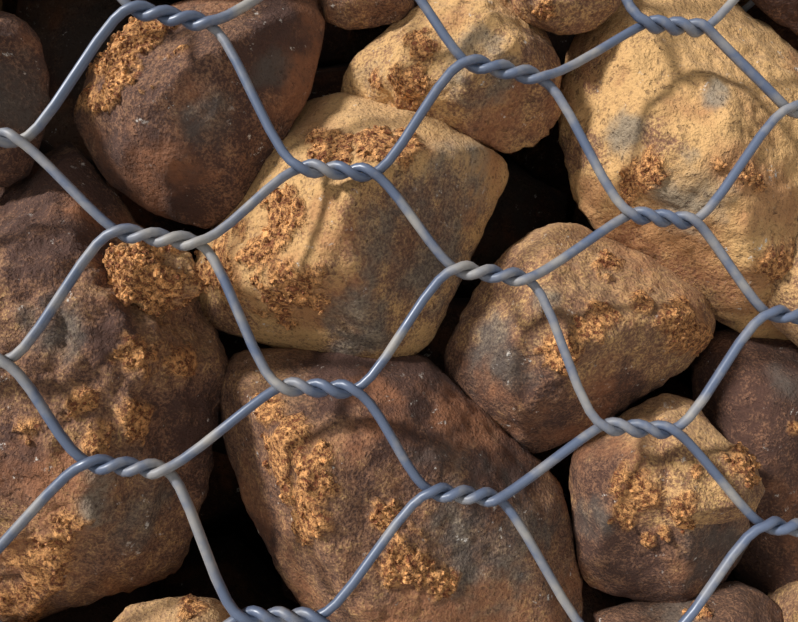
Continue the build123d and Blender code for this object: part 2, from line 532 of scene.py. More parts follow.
# Rings of 3 mm coated wire, closed with pliers round two edge wires where panels meet, and
# round the diaphragm's edge wires and the mesh that they meet.
ring_radius = 1.5 * mm
ring_steps = 14
ring_sweep = math.radians(410)
ring_start = -0.4
ring_overlap = 2.4 * mm
ring_loop = selvedge_radius + ring_radius
ring_sides = 6


def ring(first, second, edge):
    """Centre line of a ring round two wires that run along an edge."""
    first, second, edge = Vector(first) * mm, Vector(second) * mm, Vector(edge)
    across = (second - first).normalized()
    over = edge.cross(across)
    path = []
    for step in range(ring_steps + 1):
        angle = ring_sweep * step / ring_steps + ring_start
        end = second if math.cos(angle) > 0 else first
        place = end + ring_loop * (math.cos(angle) * across + math.sin(angle) * over)
        path.append(place + edge * ring_overlap * (step / ring_steps - 0.5))
    return path


# Edge wires that the rings clip, in mm from the middle of the wall and from the ground: those of
# the front and back, of the lid and base, and of the ends, each at the top and at the bottom.
# Those across the ends of the first four are all at the same x.
long_panel_rod_x = 994.1
face_rod_y, face_rods_z = 246.3, (994.1, 5.9)
flat_rod_y, flat_rods_z = 236.7, (996.3, 3.7)
end_rod_x, end_rod_y, end_rods_z = 996.3, 236.7, (986.7, 13.3)

# Places along those edges that the ends of the mesh wires leave free
long_edge_places = np.arange(-937.5, 938, 187.5)
diaphragm_edge_places = 5.9 + 39.528 * np.array((3.5, 7.5, 11.5, 15.5, 19.5, 22.5))
short_edge_places = (-138.1, 19.7, 138.1)
corner_starts = {(-1, -1): 49.6, (1, -1): 69.4, (1, 1): 89.7, (-1, 1): 69.4}
corner_places = 160.2 * np.arange(6)
along_x, along_y, along_z = (1, 0, 0), (0, 1, 0), (0, 0, 1)

rings = []
for side in (-1, 1):
    face_y, flat_y = side * face_rod_y, side * flat_rod_y
    for x in long_edge_places:
        for face_z, flat_z in zip(face_rods_z, flat_rods_z):
            rings.append(ring((x, face_y, face_z), (x, flat_y, flat_z), along_x))
    for z in diaphragm_edge_places:
        rings.append(ring((0, face_y, z), (0, flat_y, z), along_z))
    for y in short_edge_places:
        for end_z, flat_z in zip(end_rods_z, flat_rods_z):
            end_rod = (side * end_rod_x, y, end_z)
            rings.append(ring(end_rod, (side * long_panel_rod_x, y, flat_z), along_y))
for (end, face), start in corner_starts.items():
    for z in start + corner_places:
        face_rod = (end * long_panel_rod_x, face * face_rod_y, z)
        rings.append(ring(face_rod, (end * end_rod_x, face * end_rod_y, z), along_z))
for y in short_edge_places:
    rings.append(ring((0, y, end_rods_z[0]), (0, y, flat_rods_z[0]), along_y))
piece = wires("edge_rings", rings, ring_radius, ring_sides, tie_coat)
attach(piece, "root")


# Stone filling: angular rubble, about 125 mm across, of a reddish-brown rock that weathers to
# ochre, packed by hand in three lifts a bay. Crumbs of orange soil still cling to it. The
# stones that the photograph shows have their own outlines, and the others are packed round them.
stone_radius, radius_spread = 62 * mm, 9 * mm
stones_in_a_bay = 300
joint_gap = 2 * mm
# Tone of the stones in the hollows behind and round the shown ones: painted shade
hollow_shade_tone = -0.35
# How far the spots of painted shade lower a shown stone's tone
painted_shade_strength = 0.6
edge_sharpness, shown_sharpness = 24, 80
broken_corners = 10
crowding_outwards = 0.45
fill_front, fill_back = -lid_depth / 2, lid_depth / 2
fill_bottom, fill_top = panel_depth, wall_height - panel_depth
bay_length = 1000 * mm
lift_names = ("lower", "middle", "upper")
lift_joints = (322.1 * mm, 677.9 * mm)

# How finely stones are divided: at the front, at the other sides and inside. Stones that are
# divided more finely than plain ones have chips, pocks and patches.
front_detail, side_detail, inside_detail, plain_detail = 9, 8, 2, 12

# Tie wires of the left bay: their height, and their places along the wall in mm
tie_rows = [(lift_joints[0], (-718.75, -218.75)), (lift_joints[1], (-781.25, -281.25))]
tie_room = 7 * mm

# Forms on a stone's surface: the size of each, its height or depth in mm, and for the fractal
# ones how fast finer octaves fade, how much finer each is, and how many there are
swell_size, swell_height, swell_octaves = 34 * mm, 2.0, (1.0, 2.0, 2)
pock_size, pock_depth, pock_octaves = 8 * mm, 0.9, (0.8, 2.1, 3)
break_size, break_depth, break_octaves = 15 * mm, 1.9, (0.9, 2.0, 2)
fray_size, fray_reach, fray_octaves = 12 * mm, 0.8, (0.6, 2.2, 4)
scoop_size, scoop_depth, scoop_middle = 26 * mm, 3.2, 0.28
chip_size, chip_depth, chip_edge = 11 * mm, 1.5, 0.3
lump_size, lump_height, lump_middle, soil_thickness = 4.2 * mm, 1.8, 0.5, 1.6
soil_patch, soil_low, soil_high = 38 * mm, 0.50, 0.62
fine_smoothing = 0.6

# Edges of the spots on a shown stone: how much they fray, and where they begin and end, by radius
soil_edge, grey_edge, painted_shade_edge = (1, 0.75, 1.1), (0.6, 0.5, 1.2), (0.7, 0.6, 1.5)

# The stones of the photograph, and some just beyond its edges. Each has its outline in pixels,
# across and down for each corner; its front faces, as a pixel, the depth there behind the mesh
# in mm, and how far the face leans to the right and up; and its spots of soil, of grey and of
# painted shade, as a pixel and a radius in pixels. The grey spots are partly grey rock and partly
# painted shade on sides turned from the light. The spots of painted shade darken the rock where
# its sides lie in shade. Tone runs from dark to pale.
seen_stones = [
    dict(
        outline=[235, -12, 315, -8, 325, 25, 311, 94, 250, 203, 208, 232, 163, 219, 105, 179, 79, 128,
            71, 105, 97, 61, 138, 24, 180, 2],
        faces=[(200, 110, 17, 0.22, -0.22), (108, 78, 26, -0.95, 0.75), (110, 160, 32, -0.55, -0.75),
            (295, 60, 34, 0.95, -0.1), (225, 205, 44, 0.25, -1.2)],
        soil=[(115, 72, 24), (95, 100, 16), (150, 40, 22), (128, 55, 18)],
        grey=[(205, 115, 32), (270, 70, 20)],
        dark=[(290, 55, 46), (150, 180, 50)],
        tone=-0.05, detail=30, rough=0.85,
    ),
    dict(
        outline=[357, 94, 400, 100, 462, 131, 502, 157, 511, 173, 431, 344, 398, 366, 370, 376, 319, 362,
            235, 335, 208, 325, 194, 290, 204, 243, 288, 108, 316, 96],
        faces=[(250, 270, 31, -0.62, 0.12), (400, 130, 22, 0.1, 0.95), (400, 260, 25, 0.85, -0.28),
            (330, 335, 26, -0.1, -0.9), (480, 170, 22, 0.5, 0.4)],
        soil=[(330, 150, 22), (372, 148, 18), (222, 275, 28), (288, 215, 26), (292, 290, 30), (258, 250, 22),
            (405, 148, 16)],
        grey=[(415, 250, 62), (360, 320, 40), (450, 180, 40)],
        dark=[(405, 250, 66), (362, 312, 48), (445, 195, 34), (225, 320, 24)],
        tone=0.95, detail=36, rough=0.85,
    ),
    dict(
        outline=[640, -15, 700, -15, 737, 3, 775, 26, 835, 80, 865, 180, 850, 300, 800, 346, 755, 337,
            722, 323, 594, 230, 573, 193, 563, 153, 558, 122, 560, 89, 575, 36, 600, 8],
        faces=[(680, 110, 13, -0.15, 0.24), (572, 130, 30, -1.2, -0.3), (720, 290, 30, 0.15, -1.1),
            (790, 190, 20, 0.5, 0.0), (650, 5, 26, -0.2, 0.9), (680, 215, 16, -0.05, -0.25)],
        soil=[(655, 163, 18), (634, 182, 16), (748, 172, 14), (720, 165, 8), (780, 260, 22)],
        grey=[(690, 195, 40), (625, 135, 22), (715, 95, 14)],
        dark=[(574, 150, 26), (625, 250, 34), (690, 292, 44), (585, 60, 24), (660, 140, 18)],
        tone=1.05, detail=38, rough=1.5,
    ),
    dict(
        outline=[577, 224, 597, 233, 676, 271, 705, 300, 719, 320, 714, 341, 689, 367, 622, 412, 566, 443,
            536, 453, 508, 441, 459, 400, 444, 372, 444, 347, 469, 301, 500, 255, 515, 243, 541, 229],
        faces=[(625, 290, 22, 0.22, 0.62), (490, 320, 30, -0.75, 0.1), (570, 410, 28, 0.12, -0.85),
            (702, 335, 28, 1.0, -0.2)],
        soil=[(562, 352, 18), (592, 322, 20), (672, 325, 24), (700, 340, 14), (610, 262, 16), (640, 300, 14)],
        grey=[(500, 350, 40), (545, 300, 16)],
        dark=[(485, 385, 48), (545, 425, 42), (620, 400, 30)],
        tone=0.42, detail=32, rough=1.35,
    ),
    dict(
        outline=[74, 144, 104, 182, 134, 222, 200, 313, 219, 342, 226, 367, 211, 454, 191, 541, 178, 568,
            76, 609, 0, 628, -60, 560, -60, 330, -40, 200, 20, 158, 45, 146],
        faces=[(90, 380, 13, 0.15, 0.1), (60, 220, 26, 0.05, 0.7), (200, 400, 28, 1.05, 0.0),
            (110, 560, 26, 0.3, -0.95), (60, 500, 14, -0.1, -0.3)],
        soil=[(140, 358, 22), (176, 366, 18), (82, 400, 22), (96, 432, 17), (132, 416, 17), (38, 566, 32),
            (18, 600, 22), (30, 425, 14), (66, 522, 17)],
        grey=[(120, 500, 46), (60, 330, 34)],
        dark=[(60, 210, 66), (195, 430, 44), (20, 460, 30), (110, 330, 26)],
        tone=0.24, detail=40, rough=2.2,
    ),
    dict(
        outline=[300, 346, 398, 352, 425, 356, 541, 463, 562, 485, 571, 515, 579, 560, 582, 640, 520, 690,
            400, 690, 330, 640, 275, 568, 245, 502, 222, 439, 220, 378, 237, 352],
        faces=[(400, 500, 16, 0.28, -0.1), (262, 505, 30, -1.2, -0.25), (290, 400, 26, -0.35, 0.85),
            (552, 545, 34, 1.0, 0.0), (480, 430, 22, 0.5, 0.5)],
        soil=[(288, 452, 27), (308, 486, 27), (312, 518, 18), (265, 410, 15), (405, 560, 28), (326, 452, 15),
            (385, 518, 15), (440, 580, 14)],
        grey=[(490, 540, 66), (440, 470, 34)],
        dark=[(420, 400, 66), (350, 375, 46), (500, 470, 40), (255, 540, 26)],
        tone=0.16, detail=38, rough=1.2,
    ),
    dict(
        outline=[664, 392, 694, 400, 714, 426, 730, 450, 748, 500, 753, 545, 742, 571, 717, 596, 681, 613,
            592, 589, 577, 566, 572, 528, 568, 480, 577, 448, 628, 408],
        faces=[(630, 525, 24, -0.12, -0.42), (592, 500, 31, -1.05, 0.05), (655, 430, 20, -0.3, 0.78),
            (725, 565, 42, 0.6, -0.45)],
        soil=[(638, 488, 21), (650, 540, 7), (664, 530, 7), (627, 510, 12)],
        grey=[(725, 548, 44), (590, 520, 22)],
        dark=[(725, 560, 40), (600, 470, 32), (590, 540, 34), (645, 580, 48)],
        tone=0.44, detail=30, rough=0.8,
    ),
    dict(
        outline=[690, 404, 757, 466, 765, 490, 754, 516, 710, 526, 673, 531, 658, 505, 652, 460, 655, 420],
        faces=[(705, 490, 9, 0.1, 0.2), (735, 450, 15, 0.35, 1.05), (700, 524, 14, 0.0, -2.6),
            (667, 490, 13, -1.3, 0.2)],
        soil=[(685, 512, 16), (742, 460, 18), (696, 470, 7)],
        grey=[(755, 500, 12)],
        tone=0.62, detail=20, rough=0.9,
    ),
    dict(
        outline=[450, -12, 500, -8, 546, 33, 560, 66, 562, 110, 550, 140, 510, 152, 450, 135, 380, 110,
            337, 92, 362, 50, 383, 32, 421, 4],
        faces=[(450, 60, 22, -0.2, 0.15), (525, 112, 38, 0.5, -0.9), (378, 62, 32, -0.9, 0.3)],
        soil=[(420, 45, 18), (405, 88, 22), (375, 80, 10)],
        grey=[(480, 70, 40), (370, 75, 16)],
        dark=[(535, 95, 44), (480, 128, 36), (545, 50, 26)],
        tone=0.88, detail=26, rough=1.5,
    ),
    dict(
        outline=[530, -70, 605, -70, 628, -12, 617, 12, 588, 31, 560, 34, 532, 27, 515, 12, 505, -8],
        faces=[(565, -5, 14, 0.1, -0.2), (560, 26, 22, 0.0, -1.0)],
        soil=[(545, 8, 8)], tone=0.42, detail=16,
    ),
    dict(
        outline=[345, -60, 405, -50, 414, 6, 402, 22, 380, 26, 345, 28, 325, 20, 318, -5],
        faces=[(365, 5, 34, 0.0, -0.4)],
        tone=0.2, detail=14,
    ),
    dict(
        outline=[0, 10, 25, 22, 40, 42, 48, 75, 46, 110, 38, 140, 28, 172, 8, 184, -35, 186, -70, 130,
            -60, 60, -35, 18],
        faces=[(5, 90, 20, 0.25, 0.1), (38, 90, 32, 1.0, 0.0)],
        grey=[(10, 90, 50)], tone=-0.2, detail=18,
    ),
    # Its low tone is painted shade, for the shadow it lies in
    dict(
        outline=[712, 330, 780, 330, 860, 350, 890, 480, 860, 610, 790, 650, 745, 600, 700, 500, 690, 365],
        faces=[(780, 470, 36, 0.2, -0.1), (720, 400, 44, -0.5, 0.1)],
        soil=[(795, 430, 8)], grey=[(790, 380, 26)], tone=-0.25, detail=24,
    ),
    dict(
        outline=[122, 246, 176, 249, 190, 264, 197, 277, 195, 295, 178, 305, 138, 306, 113, 303, 106, 288,
            104, 254],
        faces=[(155, 282, 11, 0.1, 0.05), (155, 258, 15, -0.1, 0.9), (124, 280, 18, -0.9, 0.0),
            (150, 300, 20, 0.0, -1.0)],
        soil=[(150, 278, 44)], tone=0.45, detail=22, rough=2.0,
    ),
    dict(
        outline=[170, 597, 215, 598, 237, 614, 245, 665, 170, 705, 105, 680, 100, 632, 130, 606],
        faces=[(170, 620, 18, 0.0, 0.6)],
        soil=[(190, 608, 12)], tone=0.6, detail=14,
    ),
    # Its low tone is painted shade, for the shadow it lies in
    dict(
        outline=[735, 580, 762, 592, 797, 627, 802, 690, 700, 725, 610, 705, 592, 612, 640, 600],
        faces=[(700, 615, 26, 0.0, 0.5)],
        soil=[(700, 612, 10)], grey=[(680, 612, 30)], tone=-0.1, detail=18,
    ),
    dict(
        outline=[840, -55, 880, 0, 850, 52, 798, 34, 760, 8, 742, -12, 765, -45],
        faces=[(800, 5, 30, -0.2, -0.4)],
        tone=-0.3, detail=14,
    ),
    dict(
        outline=[-200, 140, -115, 140, -72, 190, -64, 300, -95, 380, -190, 400, -262, 320, -262, 200],
        faces=[(-160, 265, 16, -0.15, 0.15), (-90, 250, 26, 0.9, 0.0)],
        tone=0.5, detail=9,
    ),
    dict(
        outline=[125, -212, 225, -212, 292, -165, 305, -85, 250, -24, 140, -18, 66, -24, 36, -60, 52, -150],
        faces=[(170, -115, 14, 0.1, 0.1), (170, -40, 24, 0.0, -0.8)],
        tone=0.35, detail=9,
    ),
    dict(
        outline=[420, -222, 525, -215, 600, -165, 610, -105, 520, -80, 420, -66, 345, -70, 316, -90,
            336, -175],
        faces=[(465, -145, 15, -0.1, 0.1), (560, -150, 24, 0.7, 0.1)],
        tone=0.7, detail=9,
    ),
    dict(
        outline=[-30, -165, 20, -140, 34, -60, 10, -14, -120, 60, -190, 30, -190, -70, -120, -150],
        faces=[(-85, -60, 16, -0.1, 0.0), (-10, -100, 26, 0.7, 0.5)],
        tone=0.15, detail=9,
    ),
    dict(
        outline=[-20, 640, 60, 646, 96, 670, 104, 740, 60, 805, -30, 815, -100, 780, -112, 700, -90, 650],
        faces=[(-5, 725, 15, 0.0, 0.1), (-5, 790, 25, 0.0, -0.8)],
        tone=0.6, detail=9,
    ),
    dict(
        outline=[940, -170, 1005, -140, 1015, -60, 960, -14, 880, -30, 884, -120],
        faces=[(945, -90, 18, 0.1, 0.1)],
        tone=0.3, detail=8,
    ),
]

# Hollows between those stones, as a pixel, a depth and a radius in mm.
seen_hollows = [
    (520, 205, 30, 30), (258, 545, 30, 26), (52, 60, 34, 20), (725, 380, 34, 14), (130, 212, 40, 16),
    (330, 50, 34, 12), (210, 600, 34, 16), (90, 20, 34, 14), (225, 535, 95, 62), (525, 205, 95, 60),
    (330, 50, 80, 36), (60, 40, 80, 36), (130, 215, 80, 30), (740, 380, 80, 30),
]


# Where crumbs of that soil lie on the stones, which is where it is thick
thick_soil, crumbs_on_soil = 0.8, 0.2
crumb_draw = random.Random(31)
crumb_places = []


def sphere_grid(count):
    """Directions over a sphere, from a cube whose faces are split count by count, and quads."""
    steps = np.tan(np.linspace(-1, 1, count + 1) * math.pi / 4)
    a, b = np.meshgrid(steps, steps, indexing="ij")
    corner = np.arange((count + 1) ** 2).reshape(count + 1, count + 1)
    quad = np.stack([corner[:-1, :-1], corner[1:, :-1], corner[1:, 1:], corner[:-1, 1:]], -1)
    quad = quad.reshape(-1, 4)
    directions, quads = [], []
    for axis in range(3):
        for side in (-1, 1):
            sheet = np.roll(np.stack([np.full_like(a, side), a, b], -1), axis, axis=-1)
            quads.append((quad if side > 0 else quad[:, ::-1]) + len(directions) * corner.size)
            directions.append(sheet.reshape(-1, 3))
    directions = np.concatenate(directions)
    directions /= np.linalg.norm(directions, axis=1)[:, None]
    rounded = np.round(directions, 5)
    _, first, same = np.unique(rounded, axis=0, return_index=True, return_inverse=True)
    return directions[first], same.reshape(-1)[np.concatenate(quads)]


def picture_place(places):
    """The pixels of the photograph at which these places show."""
    offset = places - np.array(camera_place)
    depth = offset @ np.array(looking)
    across = picture_width / 2 + focal_length_in_pixels * (offset @ np.array(camera_right)) / depth
    down = picture_height / 2 - focal_length_in_pixels * (offset @ np.array(camera_up)) / depth
    return np.stack([across, down], -1)


def smooth_step(value, low, high):
    """How far a value has come from low to high, with a smooth start and end."""
    part = min(1.0, max(0.0, (value - low) / (high - low)))
    return part * part * (3 - 2 * part)


def spot_cover(pixel, spots, fray, edge):
    """How far a pixel lies inside any of these round spots, whose edges are frayed."""
    fraying, inside, outside = edge
    cover = 0.0
    for x, y, spot in spots:
        distance = math.hypot(pixel[0] - x, pixel[1] - y) / spot
        cover = max(cover, 1 - smooth_step(distance + fraying * fray, inside, outside))
    return cover


class StonePile:
    """The stones of one lift in one bay, gathered into one mesh."""

    def __init__(self):
        self.places, self.quads, self.count = [], [], 0
        self.values = {"tone": [], "grey": [], "soil": []}

    def add(self, centre, planes, outward, limits, detail, tone, greyness=0.0, soil_cover=0.0,
            rough=1, sharpness=edge_sharpness, soil=(), grey=(), dark=()):
        """Adds a stone: what lies within its planes (normal, distance), rounded and roughened."""
        directions, quads = sphere_grid(detail)
        if outward is not None:
            directions = directions + crowding_outwards * np.array(outward)
            directions /= np.linalg.norm(directions, axis=1)[:, None]
        normals = np.array([normal for normal, _ in planes])
        distances = np.array([distance for _, distance in planes])
        reach = np.maximum(directions @ normals.T, 0) / distances
        radius = (reach**sharpness).sum(axis=1) ** (-1 / sharpness)
        places = np.array(centre) + directions * radius[:, None]
        pixels = picture_place(places)
        for i, place in enumerate(places):
            p = Vector(place)
            values = {"tone": tone, "grey": greyness, "soil": 0.0}
            scoop = noise.voronoi(p / scoop_size)[0][0]
            relief = swell_height * noise.fractal(p / swell_size, *swell_octaves)
            relief += scoop_depth * (scoop * scoop - scoop_middle)
            if soil_cover:
                patch = noise.noise(p / soil_patch) + soil_cover
                values["soil"] = smooth_step(patch, soil_low, soil_high)
            if detail > plain_detail:
                chips = noise.voronoi(p / chip_size)[0]
                relief *= fine_smoothing
                relief += rough * pock_depth * noise.fractal(p / pock_size, *pock_octaves)
                relief += rough * chip_depth * min(chip_edge, chips[1] - chips[0])
                fray = fray_reach * noise.fractal(p / fray_size, *fray_octaves)
                # Spots of soil, of grey (partly grey rock, partly painted shade) and of painted shade, which
                # lowers the tone
                if soil or grey or dark:
                    values["soil"] = spot_cover(pixels[i], soil, fray, soil_edge)
                    values["grey"] = spot_cover(pixels[i], grey, fray, grey_edge)
                    values["tone"] -= painted_shade_strength * spot_cover(pixels[i], dark, fray, painted_shade_edge)
                if rough > 1:
                    relief += (rough - 1) * break_depth * noise.fractal(p / break_size, *break_octaves)
                lump = noise.voronoi(p / lump_size)[0][0]
                relief += values["soil"] * (soil_thickness + lump_height * (lump_middle - lump))
            for value_name, value in values.items():
                self.values[value_name].append(value)
            places[i] += directions[i] * relief * mm
            is_soiled = detail > plain_detail and values["soil"] > thick_soil
            if is_soiled and crumb_draw.random() < crumbs_on_soil:
                crumb_places.append(Vector(places[i]))
        places = np.clip(places, *limits)
        self.places.append(places)
        self.quads.append(quads + self.count)
        self.count += len(places)

    def piece(self, name, material):
        """The pile as one object, with each point's tone, greyness and soil."""
        mesh = bpy.data.meshes.new(name)
        mesh.from_pydata(np.concatenate(self.places), [], np.concatenate(self.quads))
        mesh.polygons.foreach_set("use_smooth", [True] * len(mesh.polygons))
        for value_name, values in self.values.items():
            mesh.attributes.new(value_name, "FLOAT", "POINT").data.foreach_set("value", values)
        mesh.materials.append(material)
        return in_scene(name, mesh)


def rubble(name):
    """Weathered ferrous rock: dull, gritty and pitted, mottled from dark red-brown to ochre,
    with pale mineral flecks, and orange soil where it clings."""
    material, tree, shader = start_material(name, {"IOR": 1.5, "Roughness": 0.92})
    place = add_node(tree, "ShaderNodeTexCoord")
    surface = add_node(tree, "ShaderNodeNewGeometry")
    facing = add_node(tree, "ShaderNodeSeparateXYZ", links={"Vector": (surface, "Normal")})
    found = {"facing_up": (facing, "Z")}
    for value_name in ("tone", "grey", "soil"):
        value = add_node(tree, "ShaderNodeAttribute", attribute_name=value_name)
        found[value_name] = (value, "Fac")

    # Mottling, pits, crumbs of soil, and the sand in the rock, by size in mm, octaves and roughness.
    # The sand and the grit are drawn coarser than they are, so that they show.
    mottling = {
        "broad": (45, 5, 0.55), "tint": (24, 4, 0.55), "fleck_patches": (30, 2, 0.55),
        "fine": (7, 5, 0.58), "flecks": (5, 4, 0.75), "pits": (3.0, 2, 0.5),
        "crumbs": (2.8, 4, 0.66), "sand": (1.9, 2, 0.6), "grit": (1.2, 3, 0.7),
    }
    for pattern, (size, octaves, roughness) in mottling.items():
        clouds = add_node(
            tree,
            "ShaderNodeTexNoise",
            values={"Scale": 1 / (size * mm), "Detail": octaves, "Roughness": roughness},
            links={"Vector": (place, "Object")},
        )
        found[pattern] = (clouds, "Fac")

    # What each of those adds or covers, as the pattern's range and the most that it gives.
    shares = {
        "fine_tone": ("fine", 0.30, 0.70, 0.45), "grit_tone": ("grit", 0.36, 0.64, 0.60),
        "grey_share": ("tint", 0.30, 0.60, 0.85), "fleck": ("flecks", 0.62, 0.70, 1),
        "fleck_patch": ("fleck_patches", 0.45, 0.58, 1), "pit": ("pits", 0.60, 0.70, 0.5),
        "pit_patch": ("fine", 0.42, 0.56, 1), "seam": ("sand", 0.46, 0.30, 0.45),
        # The share by upward facing lays ochre on the upward faces of paler rock: partly dust that settles
        # there, partly painted light on the tops
        "crumb": ("crumbs", 0.36, 0.64, 1), "top_dust_and_light": ("facing_up", 0.25, 0.90, 0.6),
        "stain": ("broad", 0.50, 0.64, 0.6), "pale_rock_share": ("tone", -0.30, 0.90, 1),
    }

    # Sums and products of those.
    sums = {
        "toned": ("ADD", "tone", "broad"), "mottled": ("ADD", "toned", "fine_tone"),
        "speckled": ("ADD", "mottled", "grit_tone"), "greying": ("MULTIPLY", "grey", "grey_share"),
        "flecking": ("MULTIPLY", "fleck", "fleck_patch"), "pitting": ("MULTIPLY", "pit", "pit_patch"),
        "soil_tone": ("ADD", "crumb", "grit_tone"), "soil_relief": ("MULTIPLY", "crumb", "soil"),
        "dust": ("MULTIPLY", "top_dust_and_light", "pale_rock_share"),
    }

    # Where a sum lies between two values.
    spans = {
        "mid_share": ("speckled", 0.65, 1.30, 1), "light_share": ("speckled", 1.20, 2.00, 1),
        "grey_tone": ("speckled", 0.80, 1.90, 1), "soil_light": ("soil_tone", 0.15, 1.25, 1),
    }
    for result, recipe in {**shares, **sums, **spans}.items():
        if result in sums:
            operation, first, second = recipe
            links = {0: found[first], 1: found[second]}
            joined = add_node(tree, "ShaderNodeMath", links=links, operation=operation)
            found[result] = (joined, "Value")
        else:
            source, low, high, most = recipe
            scaled = add_node(
                tree,
                "ShaderNodeMapRange",
                values={"From Min": low, "From Max": high, "To Min": 0.0, "To Max": most},
                links={"Value": found[source]},
                interpolation_type="SMOOTHSTEP",
            )
            found[result] = (scaled, "Result")

    # Colours laid over each other, each by a share.
    coats = {
        "brown": ("#482e23", "mid_share", "#7f5a42"), "rock": ("brown", "light_share", "#c99e67"),
        "grey_rock": ("#524840", "grey_tone", "#857a69"), "stained": ("rock", "stain", "#9b6440"),
        "greyed": ("stained", "greying", "grey_rock"),
        "flecked": ("greyed", "flecking", "#cfc6ba"), "seamed": ("flecked", "seam", "#3f2b20"),
        # The dust coat: ochre on upward faces, partly dust and partly painted light on the tops
        "pitted": ("seamed", "pitting", "#4a2e20"), "dusted_and_top_lit": ("pitted", "dust", "#b59167"),
        "soil_colour": ("#784020", "soil_light", "#f0ad6b"), "soiled": ("dusted_and_top_lit", "soil", "soil_colour"),
    }
    for coat, (under, cover, over) in coats.items():
        links = {"Fac": found[cover]}
        values = {}
        for socket, colour in (("Color1", under), ("Color2", over)):
            if colour in found:
                links[socket] = found[colour]
            else:
                values[socket] = linear(colour)
        found[coat] = (add_node(tree, "ShaderNodeMixRGB", values=values, links=links), "Color")
    tree.links.new(found["soiled"][0].outputs["Color"], shader.inputs["Base Color"])

    # Relief from those patterns, with the depth of each and whether it goes inwards.
    relief = {}
    for height, depth, inwards in (
        ("fine", 2.0 * mm, False), ("soil_relief", 2.2 * mm, False), ("pitting", 0.9 * mm, True),
        ("sand", 1.0 * mm, False), ("grit", 0.7 * mm, False),
    ):
        bumps = add_node(
            tree,
            "ShaderNodeBump",
            values={"Strength": 1.0, "Distance": depth},
            links={"Height": found[height], **relief},
            invert=inwards,
        )
        relief = {"Normal": (bumps, "Normal")}
    tree.links.new(bumps.outputs["Normal"], shader.inputs["Normal"])
    return material


# How near to a stone's middle it may be cut off by its own faces, the shown stones and a tie wire
nearest_face, nearest_front, nearest_tie = 6 * mm, 12 * mm, 8 * mm


def plane_through(place, normal, centre):
    """A face of a stone, as its outward normal and its distance from the stone's centre."""
    normal = Vector(normal).normalized()
    distance = (place - centre).dot(normal)
    return (tuple(normal), max(distance, nearest_face))


# A shown stone: a pixel's size in mm there; the depth of its middle and back and of its outline,
# by its width; the lean of its sides behind the outline, and the depth and lean of the shoulders
# before it; how finely its corners are looked for; and the lean and reach of those broken off
pixel_size = 0.38
middle_depth, back_depth, outline_depth, back_lean = 0.42, 0.5, 0.10, 0.75
shoulder_depths, shoulder_leans = (0.02, 0.12), (0.3, 0.8)
corner_search, broken_lean, broken_reaches = 8, 0.8, (0.91, 0.97)


def shown_stone(outline, faces):
    """Centre, radius and planes of a stone in the photograph, whose sides pass through its outline."""
    corners = list(zip(outline[::2], outline[1::2]))
    edges = list(zip(corners, corners[1:] + corners[:1]))
    middle = (sum(outline[::2]) / len(corners), sum(outline[1::2]) / len(corners))
    area = sum(x * next_y - y * next_x for (x, y), (next_x, next_y) in edges) / 2
    nearest = min(depth for _, _, depth, _, _ in faces)
    width = math.sqrt(abs(area)) * pixel_size * mm
    centre = behind_mesh(middle, nearest * mm + middle_depth * width)
    waist = (centre - camera_place).dot(looking)
    draw = random.Random(int(middle[0]))
    planes = []
    for edge in edges:
        rays = [behind_mesh(pixel, 0) - camera_place for pixel in edge]
        side = rays[0].cross(rays[1]).normalized()
        if side.dot(centre - camera_place) > 0:
            side = -side
        on_edge = (rays[0] + rays[1]) / 2
        on_edge = camera_place + on_edge * waist / on_edge.dot(looking)
        planes.append(plane_through(on_edge, side, centre))
        shoulder = on_edge - draw.uniform(*shoulder_depths) * width * looking
        shoulder_side = side - draw.uniform(*shoulder_leans) * looking
        planes.append(plane_through(shoulder, shoulder_side, centre))
        behind_edge = on_edge + outline_depth * width * looking
        planes.append(plane_through(behind_edge, side + back_lean * looking, centre))
    for x, y, depth, right, up in faces:
        leaning = right * camera_right + up * camera_up - looking
        planes.append(plane_through(behind_mesh((x, y), depth * mm), leaning, centre))
    planes.append(plane_through(centre + back_depth * width * looking, looking, centre))
    directions, _ = sphere_grid(corner_search)
    slopes = directions @ np.array([normal for normal, _ in planes]).T
    distances = np.array([distance for _, distance in planes])
    surface = directions / (slopes / distances).max(axis=1)[:, None]
    for _ in range(broken_corners):
        across, up = draw.uniform(-1, 1), draw.uniform(-1, 1)
        broken = (across * camera_right + up * camera_up - broken_lean * looking).normalized()
        corner = (surface @ np.array(broken)).max()
        planes.append((tuple(broken), draw.uniform(*broken_reaches) * corner))
    return centre, width / 2, planes


# What the photograph shows of the filling. Behind the shown stones others lie in a second layer,
# at these depths for their middles and their fronts. Those and others close by get the darkest
# tone: painted shade in the hollows.
window_depth = 45 * mm
window_margin = np.array((20, 300, 34)) * mm
second_layer, second_layer_front = 138 * mm, 98 * mm
shade_reach = 70 * mm
picture_corners = [(x, y) for y in (0, picture_height) for x in (0, picture_width)]
window = np.array([behind_mesh(corner, window_depth) for corner in picture_corners])
window_middle = (window.min(axis=0) + window.max(axis=0)) / 2
window_half = (window.max(axis=0) - window.min(axis=0)) / 2 + window_margin

# How stones settle: the steps, the share of an overlap that each takes away, and how near a
# stone's middle comes to a wall. Then how near a wall or a tie wire has to be to shape a stone,
# by its radius, how many neighbours shape it, and the least that a neighbour leaves it
settling_steps, settling_push, wall_inset, least_distance = 260, 0.35, 0.62, 1e-9
wall_reach, tie_reach, neighbours, least_share = 1.5, 1.6, 21, 0.3

# The three faces that a stone turns to a wall: the angles between them in degrees, how far off
# the middle they meet and draw back from the wall, and their least and greatest lean
face_turns, peak_shift, draw_back = (80, 160), 0.4, 4
least_lean, greatest_lean, greatest_lean_at_edge = 0.08, 0.5, 0.28
full_turn = 6.28

